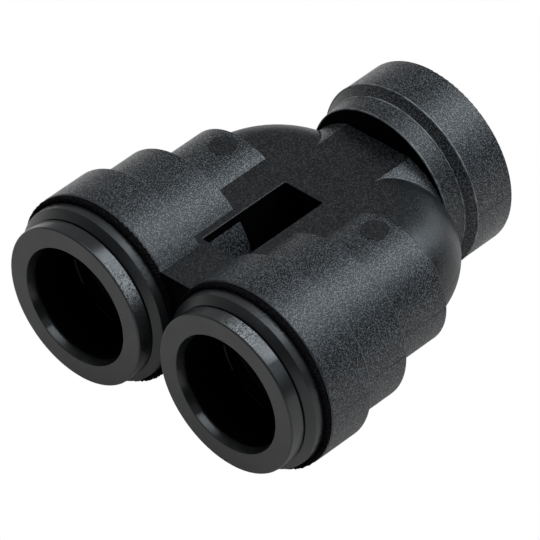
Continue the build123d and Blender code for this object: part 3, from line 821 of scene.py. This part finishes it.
def parting_line(material):
    """The fine ridge where the mould's halves met, at mid-height on both flanks.
    Each run is a line in the plane z = 0, straight or an arc, with a small diamond
    section: points at the line plus or minus a half width in z, and a height along
    the line's normal outwards and inwards."""
    share = np.linspace(0, 1, SEAM_POINTS)
    bend = SEAM_BEND * share
    bend_x = PORT_X - SHOULDER_INSET - SHOULDER_BEND_R
    reach = SHOULDER_BEND_R + HUB_HALF
    runs = []
    for outer, start, end in (
            (PORT_X + BARREL_R, 0.25, BARREL_LENGTH - 0.2),
            (PORT_X + SEAL_HOUSING_R, BARREL_LENGTH, SEAL_HOUSING_END - 0.2),
            (PORT_X + LEG_R, SEAL_HOUSING_END, LEG_END - 0.2),
            (BARREL_R, REAR_BARREL_Y + 0.1, BODY_LENGTH - 0.25)):
        line = np.stack([0 * share + outer, start + (end - start) * share], axis=-1)
        runs.append((line, np.stack([0 * share + 1, 0 * share], axis=-1)))
    way = np.stack([np.cos(bend), np.sin(bend)], axis=-1)
    runs.append((way * reach + (bend_x, SHOULDER_Y), way))
    vertices, faces = [], []
    for side in (-1, 1):
        for line, way in runs:
            ridge = np.zeros((SEAM_POINTS, 4, 3))
            ridge[:, :, :2] = line[:, None]
            ridge[:, 0, :2] += way * SEAM_HEIGHT
            ridge[:, 2, :2] -= way * SEAM_HEIGHT
            ridge[:, 1, 2], ridge[:, 3, 2] = SEAM_HALF_WIDTH, -SEAM_HALF_WIDTH
            ridge[:, :, 0] *= side
            first = len(vertices) * SEAM_POINTS * 4
            quads = np.array(grid_quads(
                np.arange(SEAM_POINTS), np.append(np.arange(4), 0), 4)) + first
            last = first + (SEAM_POINTS - 1) * 4
            run_faces = quads.tolist() + [
                [first + 3, first + 2, first + 1, first], [last, last + 1, last + 2, last + 3]]
            faces += run_faces if side > 0 else [face[::-1] for face in run_faces]
            vertices.append(ridge)
    spots = np.concatenate(vertices).reshape(-1, 3) + (0, BODY_FRONT_Y, AXIS_Z)
    return piece_from("parting_line", spots * MM, faces, material)


seam = parting_line(black_acetal)
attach(seam, "housing")

# ---------------------------------------------------------------------------
# Spacers and O-rings: behind each cartridge lie a flat moulded ring and a
# nitrile rubber ring, which seals on the tube. They are seen only down a bore.
SPACER_THICKNESS = 0.8
SPACER_INNER_R = SOCKET_R + 0.15
SPACER_EDGE_ROOM = 0.1
SPACER_ROUND = 0.12
O_RING_INNER_R = TUBE_D / 2 - 0.07
O_RING_SIDE_ROOM = 0.05
O_RING_SECTION_R = {"left": 1.15, "right": 1.15, "rear": 1.0}
O_RING_SECTION_POINTS = 28
INNER_RING_COLUMNS = 160


def plain_deep(name, dark, pale, rough):
    """A dull finish for a piece inside a port, mottled by the shared skin."""
    material = principled(name, Roughness=rough, Specular_IOR_Level=0.25)
    tree = material.node_tree
    skin = place_group(tree, spark_skin, {"Pit Scale": 3000.0})
    shader = tree.nodes["Principled BSDF"]
    tree.links.new(
        mix_colour(tree, skin.outputs["Patch"], dark, pale), shader.inputs["Base Color"])
    tree.links.new(
        band(tree, skin.outputs["Glint"], 0, 1, rough - 0.06, rough + 0.06),
        shader.inputs["Roughness"])
    return material


spacer_plastic = plain_deep("spacer_plastic", (0.006, 0.006, 0.006), (0.010, 0.010, 0.010), 0.5)
seal_rubber = plain_deep("seal_rubber", (0.007, 0.007, 0.007), (0.012, 0.012, 0.012), 0.6)
for port in ports:
    start = port.tail_end + COLLET_TAIL_ROOM
    end = start + SPACER_THICKNESS
    outer = CARTRIDGE_BARREL_R[port.name] - SPACER_EDGE_ROOM
    outline = rounded([
        (SPACER_INNER_R, start, SPACER_ROUND), (outer, start, SPACER_ROUND),
        (outer, end, SPACER_ROUND), (SPACER_INNER_R, end, SPACER_ROUND)])
    spacer = turned_piece(
        f"{port.name}_spacer_ring", port, outline, INNER_RING_COLUMNS, spacer_plastic)
    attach(spacer, "housing")
    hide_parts(f"{port.name}_spacer")
    section_r = O_RING_SECTION_R[port.name]
    around = np.arange(O_RING_SECTION_POINTS) * 2 * math.pi / O_RING_SECTION_POINTS
    outline = np.stack([
        O_RING_INNER_R + section_r * (1 + np.cos(around)),
        end + O_RING_SIDE_ROOM + section_r * (1 + np.sin(around))], axis=-1)
    o_ring = turned_piece(
        f"{port.name}_seal_ring", port, outline, INNER_RING_COLUMNS, seal_rubber)
    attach(o_ring, "housing")
    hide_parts(f"{port.name}_o_ring")

# ---------------------------------------------------------------------------
# Studio: a white sheet and white surroundings, which look pure white to the camera, two strong
# soft lamps high up behind and over the fitting, three weaker ones low behind it, and the camera.
# In what the fitting mirrors, the sheet darkens near it: a painted shadow, from ambient
# occlusion.
floor_mesh = bpy.data.meshes.new("floor")
floor_mesh.from_pydata([(-3, -3, 0), (3, -3, 0), (3, 3, 0), (-3, 3, 0)], [], [(0, 1, 2, 3)])
white_sheet = principled("white_sheet", Base_Color=(0.8, 0.8, 0.8, 1), Roughness=0.9)
floor_mesh.materials.append(white_sheet)
floor = bpy.data.objects.new("floor", floor_mesh)
bpy.context.scene.collection.objects.link(floor)
tree = white_sheet.node_tree
path = wire(tree, "LightPath")
# Painted shadow: the sheet's glow in reflections dims where ambient occlusion finds the fitting
# near.
open_sky = wire(tree, "AmbientOcclusion", {"Distance": 0.03}, samples=6).outputs["AO"]
mirrored_painted_shadow = band(tree, open_sky, 0.1, 1.0, 0.12, 0.82)
level = wire(tree, "Mix", {
    0: path.outputs["Is Camera Ray"], 2: mirrored_painted_shadow, 3: 1.0}, data_type="FLOAT").outputs[0]
glow = wire(tree, "Emission", {"Strength": level})
seen = sum_of(tree, "MAXIMUM", path.outputs["Is Camera Ray"], path.outputs["Is Glossy Ray"])
blend = wire(tree, "MixShader", {
    0: seen, 1: tree.nodes["Principled BSDF"].outputs[0], 2: glow.outputs[0]})
tree.links.new(blend.outputs[0], tree.nodes["Material Output"].inputs["Surface"])

world = bpy.data.worlds.new("surroundings")
bpy.context.scene.world = world
world.use_nodes = True
tree = world.node_tree
direction = wire(tree, "SeparateXYZ", {"Vector": wire(tree, "TexCoord").outputs["Generated"]})
left_wall = band(tree, direction.outputs["X"], -0.3, -0.9, 0.0, 0.32)
ceiling = band(tree, direction.outputs["Z"], 0.3, 0.9, 0.0, 0.28)
room = sum_of(tree, "ADD", left_wall, ceiling)
seen = wire(tree, "LightPath").outputs["Is Camera Ray"]
level = wire(tree, "Mix", {0: seen, 2: room, 3: 1.0}, data_type="FLOAT").outputs[0]
tree.links.new(level, tree.nodes["Background"].inputs["Strength"])
tree.nodes["Background"].inputs["Color"].default_value = (1, 1, 1, 1)


def softbox(name, azimuth, elevation, distance, width, height, radiance):
    """A soft lamp that faces the fitting from the given direction, in degrees, at a
    distance in metres. Its power is its radiance times its area times pi."""
    a, e = math.radians(azimuth), math.radians(elevation)
    away = Vector((math.sin(a) * math.cos(e), -math.cos(a) * math.cos(e), math.sin(e)))
    lamp = bpy.data.lights.new(name, "AREA")
    lamp.shape = "RECTANGLE"
    lamp.size, lamp.size_y = width, height
    lamp.energy = math.pi * width * height * radiance
    lamp.color = (0.84, 0.94, 1.0)
    holder = bpy.data.objects.new(name, lamp)
    holder.location = Vector((0, 0, AXIS_Z * MM)) + away * distance
    holder.rotation_mode = "QUATERNION"
    holder.rotation_quaternion = (-away).to_track_quat("-Z", "Y")
    bpy.context.scene.collection.objects.link(holder)


softbox("high_softbox", 154, 52, 0.5, 0.26, 0.26, 5.7)
softbox("low_softbox", 172, 18, 0.6, 0.30, 0.24, 2.6)
softbox("middle_softbox", 150, 33, 0.5, 0.22, 0.20, 2.4)
softbox("right_softbox", 120, 30, 0.6, 0.24, 0.24, 0.7)
softbox("overhead_strip", 70, 79, 0.5, 0.12, 0.56, 5.0)

CAMERA_AIM = Vector((-1.279, -3.481, 10.479)) * MM
CAMERA_AZIMUTH = math.radians(45.103)
CAMERA_ELEVATION = math.radians(38.928)
CAMERA_ROLL = math.radians(2.754)
CAMERA_DISTANCE = 940.2 * MM
CAMERA_LENS = 529.33  # on the 36 mm sensor: the fitting is seen from afar
away = Vector((
    math.sin(CAMERA_AZIMUTH) * math.cos(CAMERA_ELEVATION),
    -math.cos(CAMERA_AZIMUTH) * math.cos(CAMERA_ELEVATION),
    math.sin(CAMERA_ELEVATION)))
level_right = Vector((math.cos(CAMERA_AZIMUTH), math.sin(CAMERA_AZIMUTH), 0))
right = Matrix.Rotation(CAMERA_ROLL, 3, -away) @ level_right
up = away.cross(right)
camera_data = bpy.data.cameras.new("camera")
camera_data.lens = CAMERA_LENS
camera_data.sensor_width = 36
camera_data.clip_start, camera_data.clip_end = 0.05, 20
camera = bpy.data.objects.new("camera", camera_data)
camera.matrix_world = Matrix.Translation(CAMERA_AIM + away * CAMERA_DISTANCE) @ Matrix(
    (right, up, away)).transposed().to_4x4()
bpy.context.scene.collection.objects.link(camera)
bpy.context.scene.camera = camera
bpy.context.scene.view_settings.view_transform = "Standard"
